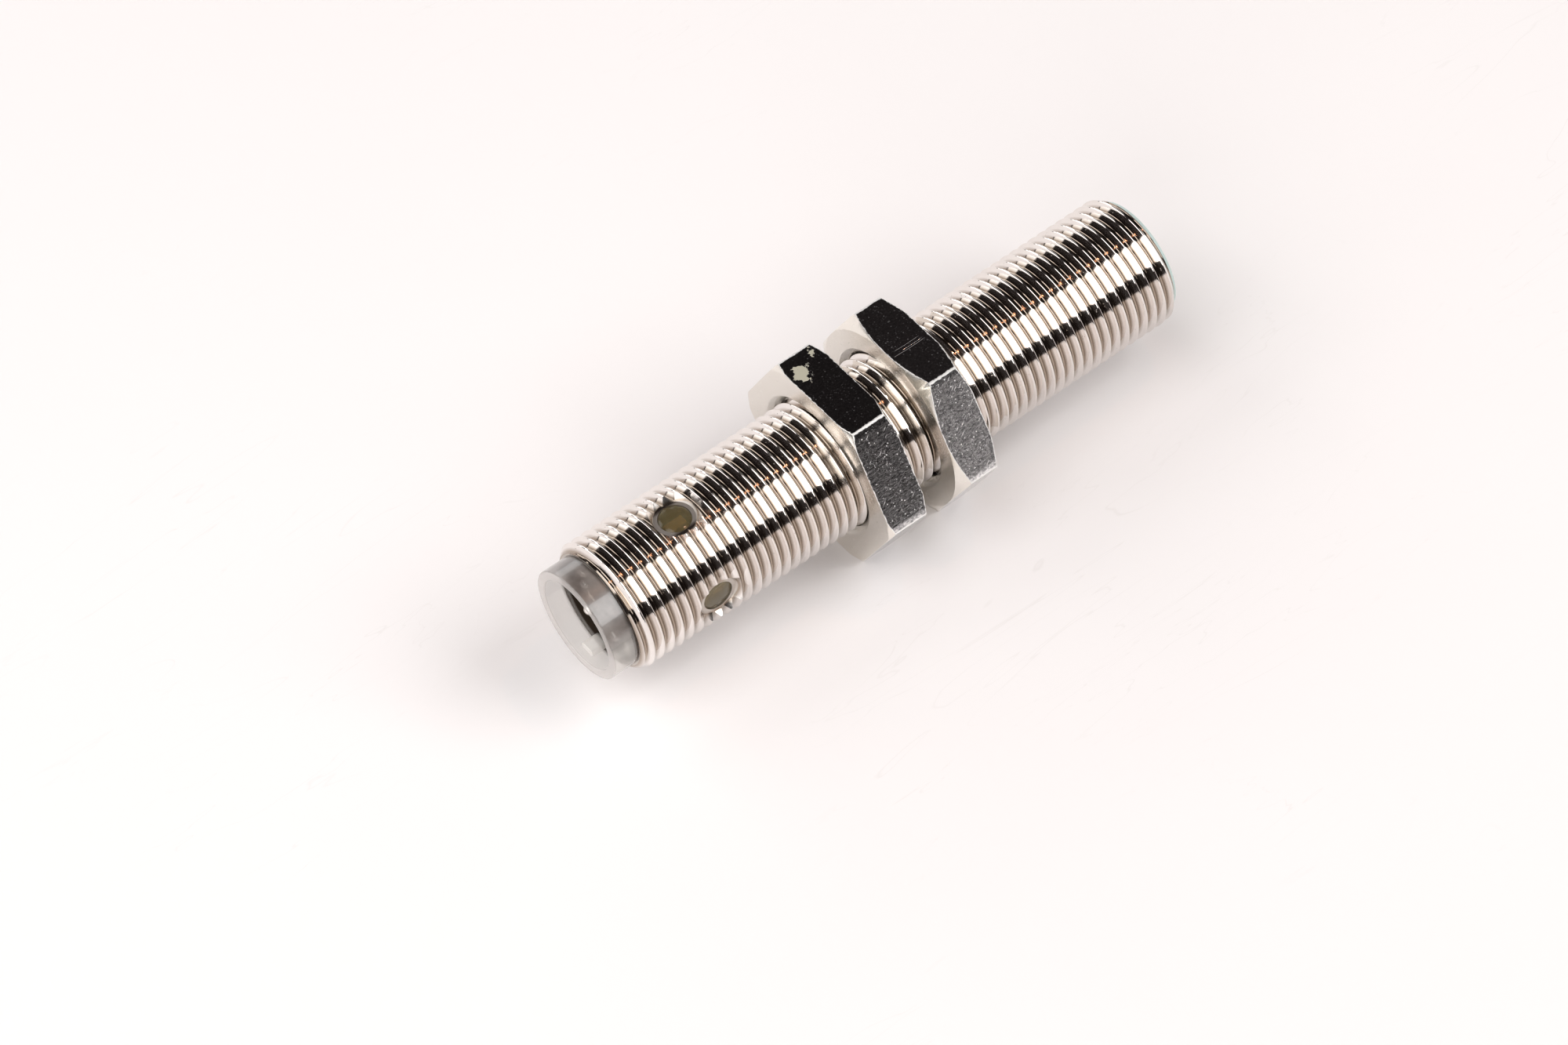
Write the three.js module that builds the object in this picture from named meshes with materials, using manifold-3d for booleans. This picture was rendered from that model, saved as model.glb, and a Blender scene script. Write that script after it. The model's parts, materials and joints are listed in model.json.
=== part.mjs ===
// Inductive proximity sensor in an M12 x 1 threaded barrel, with a pin connector at one end,
// four indicator windows, two mounting nuts and a flush sensing face at the other end.
//
// Millimetres. X runs along the barrel from the connector to the sensing face, Z is up, and the
// sensor lies on the bottom flats of its nuts. Lengths along the barrel ("along") are counted
// from the connector's rim. Angles about the barrel start at +Y and turn towards +Z.

import * as THREE from "three";
import { mergeVertices } from "three/addons/utils/BufferGeometryUtils.js";
import Module from "manifold-3d";

const wasm = await Module();
wasm.setup();

// Driving dimensions.
const TOTAL_LENGTH = 59.2;
const ACROSS_FLATS = 17;
const GAP = 0.25;

const THREAD = { radius: 6, rootRadius: 5.39, pitch: 1, sides: 20, start: 2.4, end: 58.75 };
const CREST_FLAT = 0.16;
const END_CHAMFER = 0.6;
const BORE_RADIUS = 4.95;

const WINDOW = { along: 10.6, holeRadius: 1.75, seatRadius: 5.15, mouthRadius: 2.35 };
const WINDOW_ANGLES = [90, 180, 270, 0];

const COLLAR = { radius: 5.15, length: 2.15, edge: 0.2 };
const SOCKET = { radius: 4.25, depth: 7.9, floor: 1 };
const KEY = { width: 1.5, height: 0.8, start: 0.7, angle: 270 };
const PIN = { radius: 0.5, circle: 2.5, tip: 2.05, tail: 10.6 };
const PIN_ANGLES = [45, 135, 225, 315];
const PIN_NOSE = [[0, 0], [0.08, 0.55], [0.28, 0.9], [0.55, 1]];
const PIN_HOLE_START = SOCKET.depth - 1;

const BOARD = { start: 13, end: 49.6, width: 7.6, thickness: 1 };
const PIN_LEAD = { radius: 0.2, straight: 0.8, lift: 0.35, overlap: 1.1, splay: 1.15 };
const CHIP = { along: 41.5, length: 4.9, width: 3, height: 1.4, span: 4.6, standOff: 0.2 };
const CHIP_LEAD = { width: 0.4, height: 0.5, offsets: [-1.9, -0.65, 0.65, 1.9] };
const LED_RING = { inner: 3.2, outer: 3.5, length: 2.4 };
const LED = { length: 1.6, width: 0.8, height: 0.5 };
const POTTING = { start: 14.5, end: 17.5 };

const CAP = { radius: 5.25, edge: 0.12, flange: 0.2, face: 0.8, wall: 0.35, mouth: 52.6 };
const CORE = { start: 54.1, end: 58.1, radius: 3.75, plate: 1, wall: 0.5, post: 1.3 };
const BOBBIN = { inner: 1.5, wall: 0.2, flange: 3, flangeThickness: 0.25 };
const WINDING_RADIUS = 2.8;
const SHIELD = { start: 54.3, end: 58, inner: 3.95, outer: 4.15 };
const CARRIER = { radius: 4.1, prongReach: 3.1, prongHalfWidth: 2.6, prongThickness: 1.1 };
const COIL_LEAD = { radius: 0.12, offset: 2.4, hole: 0.4 };

const NUT = { thickness: 4, boreRadius: 6.25, countersink: 0.45 };
const REAR_NUT = { start: 25.05, rearSetback: 0.35, frontSetback: 0.45 };
const FRONT_NUT = { start: 32.65, rearSetback: 0.75, frontSetback: 0.6 };

const NUT_CORNER_RADIUS = ACROSS_FLATS / 2 / Math.cos(Math.PI / 6);
const INNER_RADIUS = BORE_RADIUS - GAP;
const CAP_CAVITY = TOTAL_LENGTH - CAP.face;

const nickel = () => finish(0xcfc8be, 0.16, 1);
const brass = () => finish(0xc9a45c, 0.3, 1);
const tinned = () => finish(0xc4c4c2, 0.35, 1);
const copper = () => finish(0xb46a3c, 0.35, 1);
const clearPlastic = () => finish(0xd9d2c4, 0.35, 0);
const smokedResin = () => finish(0x6b5a2a, 0.15, 0);
const tealPlastic = () => finish(0x9cc9c2, 0.45, 0);
const blackPlastic = () => finish(0x1d1d1f, 0.5, 0);
const ferrite = () => finish(0x2f2c2a, 0.75, 0);
const greenBoard = () => finish(0x1f5b3a, 0.55, 0);
const resin = () => finish(0x3a342c, 0.6, 0);
const ledBody = () => finish(0xe6c23a, 0.3, 0);

const sensor = new THREE.Group();
sensor.position.set(-TOTAL_LENGTH / 2, 0, ACROSS_FLATS / 2);

addConnector();
addBarrel();
addIndicators();
addElectronics();
addSensingHead();
addNut("rear_nut", REAR_NUT);
addNut("front_nut", FRONT_NUT);

const proximitySensor = new THREE.Group();
proximitySensor.add(sensor);
export default proximitySensor;

// The clear insert: a thin collar in front of the barrel, a socket with its key, and the pins.
function addConnector() {
  const shell = turned([
    [SOCKET.depth, 0],
    [SOCKET.depth, SOCKET.radius],
    [COLLAR.edge, SOCKET.radius],
    [0, SOCKET.radius + COLLAR.edge],
    [0, COLLAR.radius - COLLAR.edge],
    [COLLAR.edge, COLLAR.radius],
    [COLLAR.length, COLLAR.radius],
    [COLLAR.length, INNER_RADIUS],
    [SOCKET.depth + SOCKET.floor, INNER_RADIUS],
    [SOCKET.depth + SOCKET.floor, 0],
  ], 32);
  const key = block(
    [KEY.start, SOCKET.radius - KEY.height, -KEY.width / 2],
    [SOCKET.depth + SOCKET.floor / 2, SOCKET.radius + GAP, KEY.width / 2],
  );
  key.rotateX(THREE.MathUtils.degToRad(KEY.angle));
  const holes = PIN_ANGLES.map((angle) => {
    const hole = rod(PIN.radius + GAP, PIN_HOLE_START, SOCKET.depth + SOCKET.floor + 1, 12);
    return aboutAxis(hole, PIN.circle, angle);
  });
  addPart("connector_insert", carved(joined(shell, key), holes), clearPlastic());

  PIN_ANGLES.forEach((angle, index) => {
    const nose = PIN_NOSE.map(([back, share]) => [PIN.tip + back, PIN.radius * share]);
    const pin = turned([...nose, [PIN.tail, PIN.radius], [PIN.tail, 0]], 12);
    addPart(`contact_pin_${index + 1}`, aboutAxis(pin, PIN.circle, angle), brass());
  });
}

// The threaded tube, chamfered at both ends, with four countersunk window holes.
function addBarrel() {
  const outline = turned([
    [THREAD.start, 0],
    [THREAD.start, THREAD.radius - END_CHAMFER],
    [THREAD.start + END_CHAMFER, THREAD.radius + 0.02],
    [THREAD.end - END_CHAMFER, THREAD.radius + 0.02],
    [THREAD.end, THREAD.radius - END_CHAMFER],
    [THREAD.end, 0],
  ], THREAD.sides);
  const bore = rod(BORE_RADIUS, THREAD.start - 1, THREAD.end + 1, 24);
  const windows = WINDOW_ANGLES.map((angle) => {
    const cutter = new THREE.LatheGeometry([
      new THREE.Vector2(0, 0),
      new THREE.Vector2(WINDOW.holeRadius, 0),
      new THREE.Vector2(WINDOW.holeRadius, WINDOW.seatRadius),
      new THREE.Vector2(WINDOW.mouthRadius, THREAD.radius + 0.2),
      new THREE.Vector2(0, THREAD.radius + 0.2),
    ], 20);
    cutter.translate(WINDOW.along, 0, 0);
    return cutter.rotateX(THREE.MathUtils.degToRad(angle));
  });
  const trimmed = toSolid(threadedRod()).intersect(toSolid(outline));
  addPart("housing_barrel", carved(fromSolid(trimmed), [bore, ...windows]), nickel());
}

// Each window is a clear plug in the barrel wall, with a lamp behind it on a narrow ring board.
function addIndicators() {
  const ringStart = WINDOW.along - LED_RING.length / 2;
  const ringEnd = WINDOW.along + LED_RING.length / 2;
  addPart("led_ring_board", ring(ringStart, ringEnd, LED_RING.inner, LED_RING.outer, 24), greenBoard());

  WINDOW_ANGLES.forEach((angle, index) => {
    const radius = WINDOW.holeRadius - GAP;
    const plug = new THREE.LatheGeometry([
      new THREE.Vector2(0, BORE_RADIUS - 0.5),
      new THREE.Vector2(radius, BORE_RADIUS - 0.5),
      new THREE.Vector2(radius, WINDOW.seatRadius - 0.06),
      new THREE.Vector2(radius * 0.6, WINDOW.seatRadius + 0.04),
      new THREE.Vector2(0, WINDOW.seatRadius + 0.08),
    ], 20);
    plug.translate(WINDOW.along, 0, 0);
    plug.rotateX(THREE.MathUtils.degToRad(angle));
    addPart(`led_window_${index + 1}`, plug, smokedResin());

    const ledStart = LED_RING.outer + GAP;
    const lamp = block(
      [WINDOW.along - LED.length / 2, ledStart, -LED.width / 2],
      [WINDOW.along + LED.length / 2, ledStart + LED.height, LED.width / 2],
    );
    lamp.rotateX(THREE.MathUtils.degToRad(angle));
    addPart(`status_led_${index + 1}`, lamp, ledBody());
  });
}

// The circuit board with its parts on both faces, the leads to the pins and the potting plug.
function addElectronics() {
  const halfWidth = BOARD.width / 2;
  const face = BOARD.thickness / 2;
  addPart(
    "circuit_board",
    block([BOARD.start, -halfWidth, -face], [BOARD.end, halfWidth, face]),
    greenBoard(),
  );

  // Name, place along the board, side of the board, length, width, height and finish.
  const components = [
    ["surge_diode", 21, 1, 4.3, 2.6, 2.1, blackPlastic()],
    ["voltage_regulator", 26.8, 1, 4.5, 2.5, 1.5, blackPlastic()],
    ["output_transistor", 31.4, 1, 2.9, 1.3, 1, blackPlastic()],
    ["filter_capacitor_1", 35.4, 1, 3.2, 1.6, 1.2, finish(0x9a7a55, 0.5, 0)],
    ["filter_capacitor_2", 24, -1, 3.2, 1.6, 1.2, finish(0x9a7a55, 0.5, 0)],
    ["load_resistor", 29, -1, 3.2, 1.6, 0.6, blackPlastic()],
    ["feedback_resistor", 34, -1, 2, 1.2, 0.5, blackPlastic()],
    ["distance_trim_resistor", 38.5, -1, 2, 1.2, 0.5, blackPlastic()],
    ["tuning_capacitor", 43, -1, 2, 1.2, 1, finish(0xb09268, 0.5, 0)],
  ];
  for (const [name, along, side, length, width, height, material] of components) {
    const near = side * (face + GAP);
    const far = side * (face + GAP + height);
    const body = block(
      [along - length / 2, -width / 2, Math.min(near, far)],
      [along + length / 2, width / 2, Math.max(near, far)],
    );
    addPart(name, body, material);
  }
  addPart("oscillator_ic", smallOutlineChip(face + GAP), blackPlastic());

  PIN_ANGLES.forEach((angle, index) => {
    const start = aboutAxisPoint(PIN.tail + GAP, PIN.circle, angle);
    const padHeight = Math.sign(start.z) * (face + PIN_LEAD.lift);
    const padSide = start.y * PIN_LEAD.splay;
    const route = new THREE.CatmullRomCurve3([
      start,
      new THREE.Vector3(start.x + PIN_LEAD.straight, start.y, start.z),
      new THREE.Vector3(BOARD.start - PIN_LEAD.radius, padSide, padHeight),
      new THREE.Vector3(BOARD.start + PIN_LEAD.overlap, padSide, padHeight),
    ]);
    addPart(`pin_lead_${index + 1}`, wire(route, PIN_LEAD.radius), tinned());
  });

  const plug = rod(INNER_RADIUS, POTTING.start, POTTING.end, 24);
  const slot = block(
    [POTTING.start - 1, -halfWidth - GAP, -face - GAP],
    [POTTING.end + 1, halfWidth + GAP, face + GAP],
  );
  addPart("potting_plug", carved(plug, [slot]), resin());
}

// The cap, the pot core with its bobbin and winding, the shield ring and the carrier behind them.
function addSensingHead() {
  const cavityRadius = INNER_RADIUS - CAP.wall;
  const flangeStart = TOTAL_LENGTH - CAP.flange;
  const cap = turned([
    [CAP_CAVITY, 0],
    [CAP_CAVITY, cavityRadius],
    [CAP.mouth, cavityRadius],
    [CAP.mouth, INNER_RADIUS],
    [flangeStart, INNER_RADIUS],
    [flangeStart, CAP.radius],
    [TOTAL_LENGTH - CAP.edge, CAP.radius],
    [TOTAL_LENGTH, CAP.radius - CAP.edge],
    [TOTAL_LENGTH, 0],
  ], 32);
  addPart("sensing_face_cap", cap, tealPlastic());

  const plateEnd = CORE.start + CORE.plate;
  const core = turned([
    [CORE.start, 0],
    [CORE.start, CORE.radius],
    [CORE.end, CORE.radius],
    [CORE.end, CORE.radius - CORE.wall],
    [plateEnd, CORE.radius - CORE.wall],
    [plateEnd, CORE.post],
    [CORE.end, CORE.post],
    [CORE.end, 0],
  ], 24);
  addPart("ferrite_core", carved(core, coilLeadHoles()), ferrite());

  const bobbinStart = plateEnd + GAP;
  const bobbinEnd = CORE.end - GAP;
  const tubeRadius = BOBBIN.inner + BOBBIN.wall;
  const windingStart = bobbinStart + BOBBIN.flangeThickness + GAP;
  const windingEnd = bobbinEnd - BOBBIN.flangeThickness - GAP;
  const bobbin = turned([
    [bobbinStart, BOBBIN.inner],
    [bobbinStart, BOBBIN.flange],
    [bobbinStart + BOBBIN.flangeThickness, BOBBIN.flange],
    [bobbinStart + BOBBIN.flangeThickness, tubeRadius],
    [bobbinEnd - BOBBIN.flangeThickness, tubeRadius],
    [bobbinEnd - BOBBIN.flangeThickness, BOBBIN.flange],
    [bobbinEnd, BOBBIN.flange],
    [bobbinEnd, BOBBIN.inner],
    [bobbinStart, BOBBIN.inner],
  ], 24);
  addPart("coil_bobbin", carved(bobbin, coilLeadHoles()), finish(0xe8e4da, 0.5, 0));
  const winding = ring(windingStart, windingEnd, tubeRadius + GAP, WINDING_RADIUS, 24);
  addPart("coil_winding", winding, copper());
  const shield = ring(SHIELD.start, SHIELD.end, SHIELD.inner, SHIELD.outer, 32);
  addPart("shield_ring", shield, copper());

  const carrierStart = BOARD.end + 2 * GAP;
  const prongStart = BOARD.end - CARRIER.prongReach;
  const prongEnd = carrierStart + 2 * GAP;
  const prongNear = BOARD.thickness / 2 + GAP;
  const prongFar = prongNear + CARRIER.prongThickness;
  const halfWidth = CARRIER.prongHalfWidth;
  const disc = rod(CARRIER.radius, carrierStart, CORE.start - 2 * GAP, 24);
  const upper = block([prongStart, -halfWidth, prongNear], [prongEnd, halfWidth, prongFar]);
  const lower = block([prongStart, -halfWidth, -prongFar], [prongEnd, halfWidth, -prongNear]);
  const carrier = joined(joined(disc, upper), lower);
  addPart("core_carrier", carved(carrier, coilLeadHoles()), blackPlastic());

  [1, -1].forEach((side, index) => {
    const lead = rod(COIL_LEAD.radius, BOARD.end + GAP, windingStart - GAP, 8);
    lead.translate(0, side * COIL_LEAD.offset, 0);
    addPart(`coil_lead_${index + 1}`, lead, copper());
  });
}

// A hexagon nut with a 30 degree chamfer at each face and a countersunk bore.
function addNut(name, nut) {
  const end = nut.start + NUT.thickness;
  const outerRadius = NUT_CORNER_RADIUS + 0.5;
  const slope = Math.tan(Math.PI / 6);
  const setbackAtOuter = (setback) => setback + (outerRadius - NUT_CORNER_RADIUS) * slope;
  const hexagon = new THREE.CylinderGeometry(
    NUT_CORNER_RADIUS, NUT_CORNER_RADIUS, NUT.thickness, 6, 1, false, Math.PI / 2,
  );
  hexagon.rotateZ(-Math.PI / 2);
  hexagon.translate(nut.start + NUT.thickness / 2, 0, 0);
  const chamfers = turned([
    [nut.start, 0],
    [nut.start, NUT_CORNER_RADIUS - nut.rearSetback / slope],
    [nut.start + setbackAtOuter(nut.rearSetback), outerRadius],
    [end - setbackAtOuter(nut.frontSetback), outerRadius],
    [end, NUT_CORNER_RADIUS - nut.frontSetback / slope],
    [end, 0],
  ], 48);
  const mouth = NUT.boreRadius + NUT.countersink;
  const bore = turned([
    [nut.start - 0.1, 0],
    [nut.start - 0.1, mouth + 0.1],
    [nut.start + NUT.countersink, NUT.boreRadius],
    [end - NUT.countersink, NUT.boreRadius],
    [end + 0.1, mouth + 0.1],
    [end + 0.1, 0],
  ], 36);
  const body = toSolid(hexagon).intersect(toSolid(chamfers)).subtract(toSolid(bore));
  addPart(name, fromSolid(body), nickel());
}

// A solid rod with a right-hand V thread, a little longer than the barrel at both ends.
function threadedRod() {
  const { radius, rootRadius, pitch, sides, start, end } = THREAD;
  const flank = (pitch - CREST_FLAT) / 2;
  const profile = [[0, rootRadius], [flank, radius], [flank + CREST_FLAT, radius]];
  const turns = Math.ceil((end - start) / pitch) + 2;
  const low = start - 3 * pitch;
  const columns = [];
  const positions = [];
  const addPoint = (along, pointRadius, angle) => {
    positions.push(along, pointRadius * Math.cos(angle), pointRadius * Math.sin(angle));
    return positions.length / 3 - 1;
  };
  for (let side = 0; side < sides; side += 1) {
    const angle = (2 * Math.PI * side) / sides;
    const column = [addPoint(low - pitch, rootRadius, angle)];
    const lastTurn = side === 0 ? turns + 1 : turns;
    for (let turn = 0; turn < lastTurn; turn += 1) {
      for (const [offset, pointRadius] of profile) {
        const along = low + (turn + side / sides) * pitch + offset;
        column.push(addPoint(along, pointRadius, angle));
      }
    }
    column.push(addPoint(low + (turns + 2.5) * pitch, rootRadius, angle));
    columns.push(column);
  }
  const lowCentre = addPoint(low - pitch, 0, 0);
  const highCentre = addPoint(low + (turns + 2.5) * pitch, 0, 0);

  const triangles = [];
  for (let side = 0; side < sides; side += 1) {
    const left = columns[side];
    const right = columns[(side + 1) % sides];
    const wrap = side === sides - 1;
    stitch(triangles, left, right, wrap ? profile.length : 0, side === 0);
    triangles.push([lowCentre, right[0], left[0]]);
    triangles.push([highCentre, left[left.length - 1], right[right.length - 1]]);
  }
  const geometry = new THREE.BufferGeometry();
  geometry.setAttribute("position", new THREE.Float32BufferAttribute(positions, 3));
  geometry.setIndex(triangles.flat());
  return geometry;
}

// Joins two neighbouring columns of a thread; the right one starts "shift" points earlier.
function stitch(triangles, left, right, shift, leftIsLonger) {
  const leftLast = left.length - 1;
  const rightLast = right.length - 1;
  for (let point = shift; point > 0; point -= 1) {
    triangles.push([left[1], right[point], right[point + 1]]);
  }
  triangles.push([left[0], right[1], left[1]], [left[0], right[0], right[1]]);
  const shared = leftIsLonger ? rightLast - 1 : leftLast - 1;
  for (let point = 1; point < shared; point += 1) {
    triangles.push([left[point], right[point + shift], right[point + 1 + shift]]);
    triangles.push([left[point], right[point + 1 + shift], left[point + 1]]);
  }
  for (let point = shared; point < leftLast - 1; point += 1) {
    triangles.push([right[rightLast - 1], left[point + 1], left[point]]);
  }
  triangles.push([left[leftLast - 1], right[rightLast - 1], right[rightLast]]);
  triangles.push([left[leftLast - 1], right[rightLast], left[leftLast]]);
}

// An eight-lead chip standing on its gull-wing leads above the board.
function smallOutlineChip(seat) {
  const bottom = seat + CHIP.standOff;
  const body = block(
    [CHIP.along - CHIP.length / 2, -CHIP.width / 2, bottom],
    [CHIP.along + CHIP.length / 2, CHIP.width / 2, bottom + CHIP.height],
  );
  const leads = CHIP_LEAD.offsets.map((offset) => block(
    [CHIP.along + offset - CHIP_LEAD.width / 2, -CHIP.span / 2, seat],
    [CHIP.along + offset + CHIP_LEAD.width / 2, CHIP.span / 2, seat + CHIP_LEAD.height],
  ));
  return leads.reduce(joined, body);
}

function coilLeadHoles() {
  return [1, -1].map((side) => {
    const hole = rod(COIL_LEAD.hole, BOARD.end - 1, CORE.start + 2 * CORE.plate, 10);
    return hole.translate(0, side * COIL_LEAD.offset, 0);
  });
}

// A shape turned about the barrel's axis from [along, radius] points.
function turned(profile, sides) {
  const points = profile.map(([along, radius]) => new THREE.Vector2(radius, along));
  return new THREE.LatheGeometry(points, sides).rotateZ(-Math.PI / 2);
}

function rod(radius, start, end, sides) {
  return turned([[start, 0], [start, radius], [end, radius], [end, 0]], sides);
}

function ring(start, end, inner, outer, sides) {
  return turned([[start, inner], [start, outer], [end, outer], [end, inner], [start, inner]], sides);
}

// A box between two opposite corners.
function block(low, high) {
  const size = high.map((value, index) => value - low[index]);
  const box = new THREE.BoxGeometry(...size);
  return box.translate(...low.map((value, index) => value + size[index] / 2));
}

function wire(route, radius) {
  const section = new THREE.Shape().absarc(0, 0, radius, 0, 2 * Math.PI);
  return new THREE.ExtrudeGeometry(section, { extrudePath: route, steps: 8, curveSegments: 4 });
}

// Moves a shape that lies on the barrel's axis out to a place on a circle about it.
function aboutAxis(geometry, radius, angle) {
  const place = aboutAxisPoint(0, radius, angle);
  return geometry.translate(place.x, place.y, place.z);
}

function aboutAxisPoint(along, radius, angle) {
  const turn = THREE.MathUtils.degToRad(angle);
  return new THREE.Vector3(along, radius * Math.cos(turn), radius * Math.sin(turn));
}

function addPart(name, geometry, material) {
  const mesh = new THREE.Mesh(fromSolid(toSolid(geometry)), material);
  mesh.name = name;
  sensor.add(mesh);
}

function finish(color, roughness, metalness) {
  return new THREE.MeshStandardMaterial({ color, roughness, metalness });
}

function joined(first, second) {
  return fromSolid(toSolid(first).add(toSolid(second)));
}

function carved(body, cutters) {
  const cut = cutters.reduce((solid, cutter) => solid.subtract(toSolid(cutter)), toSolid(body));
  return fromSolid(cut);
}

function toSolid(geometry) {
  const bare = geometry.clone();
  bare.deleteAttribute("normal");
  bare.deleteAttribute("uv");
  const merged = mergeVertices(bare, 1e-5);
  const index = merged.index.array;
  const triangles = [];
  for (let i = 0; i < index.length; i += 3) {
    const [a, b, c] = [index[i], index[i + 1], index[i + 2]];
    if (a !== b && b !== c && c !== a) {
      triangles.push(a, b, c);
    }
  }
  return new wasm.Manifold(new wasm.Mesh({
    numProp: 3,
    vertProperties: new Float32Array(merged.attributes.position.array),
    triVerts: new Uint32Array(triangles),
  }));
}

function fromSolid(solid) {
  const mesh = solid.getMesh();
  const geometry = new THREE.BufferGeometry();
  geometry.setAttribute("position", new THREE.Float32BufferAttribute(mesh.vertProperties, 3));
  geometry.setIndex(Array.from(mesh.triVerts));
  geometry.computeVertexNormals();
  return geometry;
}
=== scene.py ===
import json
import math

import bpy
from mathutils import Matrix, Vector


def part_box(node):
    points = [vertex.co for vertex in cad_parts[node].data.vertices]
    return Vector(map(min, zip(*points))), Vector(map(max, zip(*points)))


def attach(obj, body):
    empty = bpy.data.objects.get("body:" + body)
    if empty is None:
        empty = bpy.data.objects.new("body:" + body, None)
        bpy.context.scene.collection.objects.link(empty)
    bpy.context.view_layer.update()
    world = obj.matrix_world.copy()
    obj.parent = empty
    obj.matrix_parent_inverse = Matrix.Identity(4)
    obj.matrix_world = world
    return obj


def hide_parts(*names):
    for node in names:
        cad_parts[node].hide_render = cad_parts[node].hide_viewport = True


# The looks of an M12 x 1 inductive proximity sensor that lies on the flats of its two nuts.
# Lengths are in millimetres, and times MM they are in metres. "along" is counted from the
# connector's rim towards the sensing face, "radius" from the barrel's axis, and angles about the
# barrel start at +Y and turn towards +Z. Shader masks count x, y and z in the frame's own
# directions, in millimetres too.

MM = 0.001

TOTAL_LENGTH = 59.2

THREAD_START = 2.4
THREAD_END = 58.85
THREAD_PITCH = 1.0
THREAD_RADIUS = 6.0
THREAD_ROOT_RADIUS = 5.387
THREAD_ROOT_FILLET = 0.144
THREAD_FLANK_DEGREES = 60
THREAD_CREST_FLAT = 0.12
THREAD_CREST_EDGE = 0.014
THREAD_SEGMENTS = 96
THREAD_RUN_OUT = 2
END_CHAMFER = 0.6
BORE_RADIUS = 4.95

WINDOW_ALONG = 10.6
WINDOW_ANGLES = (90, 180, 270, 0)
WINDOW_HOLE_RADIUS = 1.43
WINDOW_SEAT_WIDTH = 0.34
WINDOW_SEAT_RADIUS = 5.15
WINDOW_MOUTH_RADIUS = 2.6
LENS_RADIUS = 1.4
LENS_DOME = 0.14
LENS_RIM = 0.06
LENS_ABOVE_SEAT = 0.08
LENS_BELOW_BORE = 0.5

COLLAR_RADIUS = 5.15
COLLAR_EDGE = 0.11
SOCKET_RADIUS = 4.25
SOCKET_DEPTH = 7.9
SOCKET_FLOOR = 1.0
SOCKET_CORNER = 0.25
INSERT_GAP = 0.03
KEY_ANGLE = 270
KEY_START = 0.7
KEY_WIDTH = 1.5
KEY_HEIGHT = 0.8
PIN_RADIUS = 0.5
PIN_CIRCLE = 2.5
PIN_TIP = 2.05
PIN_TAIL = 10.6
PIN_HOLE_GAP = 0.04
PIN_ANGLES = (45, 135, 225, 315)

CAP_RADIUS = 5.25
CAP_FLANGE = 0.3
CAP_SPIGOT = 0.3
CAP_SPIGOT_GAP = 0.04
CAP_EDGE = 0.14
CAP_FACE_RING = 0.6

ACROSS_FLATS = 17.0
NUT_THICKNESS = 4.0
NUT_CORNER_RADIUS = ACROSS_FLATS / 2 / math.cos(math.pi / 6)
NUT_CORNER_CUT = 0.06
NUT_CHAMFER_SLOPE = math.tan(math.pi / 6)
NUT_BORE_RADIUS = 6.07
NUT_MOUTH_RADIUS = 6.7
NUT_MOUTH_SLOPE = 0.75
NUT_GROOVES = 6
NUT_GROOVE_DEPTH = 0.28
NUT_EDGE = 0.12
NUTS = {
    "rear_nut": {"start": 25.05, "rear_setback": 0.35, "front_setback": 0.45},
    "front_nut": {"start": 32.65, "rear_setback": 0.75, "front_setback": 0.6},
}

# Where the materials' masks begin and end, as distances from the barrel's axis.
ROOT_SHADE_RADII = (5.74, 5.44)
BELOW_THREAD_RADII = (5.36, 5.28)
COLLAR_SKIN_RADII = (5.04, 5.13)
KEY_TOP_RADII = (4.19, 4.12)
NUT_RIDGE_RADII = (9.70, 9.725)

CAMERA_TARGET = (-10.32, -2.80)
CAMERA_AZIMUTH = -33.9
CAMERA_ELEVATION = 52.18
CAMERA_ROLL = -5.62
CAMERA_DISTANCE = 560.0
CAMERA_LENS = 157.4
CAMERA_SENSOR = 36.0

FLOOR_HALF_METRES = 1.5
FLOOR_DROP_METRES = 0.00002


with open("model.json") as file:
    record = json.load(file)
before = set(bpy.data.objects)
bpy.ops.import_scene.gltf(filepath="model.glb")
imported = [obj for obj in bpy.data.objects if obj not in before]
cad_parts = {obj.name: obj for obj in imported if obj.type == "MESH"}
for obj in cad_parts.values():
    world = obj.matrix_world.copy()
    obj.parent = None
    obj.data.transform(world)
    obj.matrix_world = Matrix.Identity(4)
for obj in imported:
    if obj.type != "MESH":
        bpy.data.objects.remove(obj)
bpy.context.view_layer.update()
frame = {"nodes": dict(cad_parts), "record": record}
nodes = frame["nodes"]

RIM_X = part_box("connector_insert")[0].x
AXIS_Z = sum(corner.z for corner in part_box("connector_insert")) / 2
RIM_X_MM = RIM_X / MM
AXIS_Z_MM = AXIS_Z / MM


def mesh_object(name, points, faces):
    """An object from points in millimetres (along, y, z), with z counted from the axis."""
    mesh = bpy.data.meshes.new(name)
    placed = [(RIM_X + x * MM, y * MM, AXIS_Z + z * MM) for x, y, z in points]
    mesh.from_pydata(placed, [], faces)
    mesh.validate()
    mesh.update()
    mesh.shade_smooth()
    piece = bpy.data.objects.new(name, mesh)
    bpy.context.scene.collection.objects.link(piece)
    return piece


def arc(centre, radius, start, end, steps):
    """Points of an arc in the (along, radius) plane, with the angles in degrees."""
    points = []
    for step in range(steps + 1):
        angle = math.radians(start + (end - start) * step / steps)
        points.append((centre[0] + radius * math.cos(angle), centre[1] + radius * math.sin(angle)))
    return points


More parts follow.
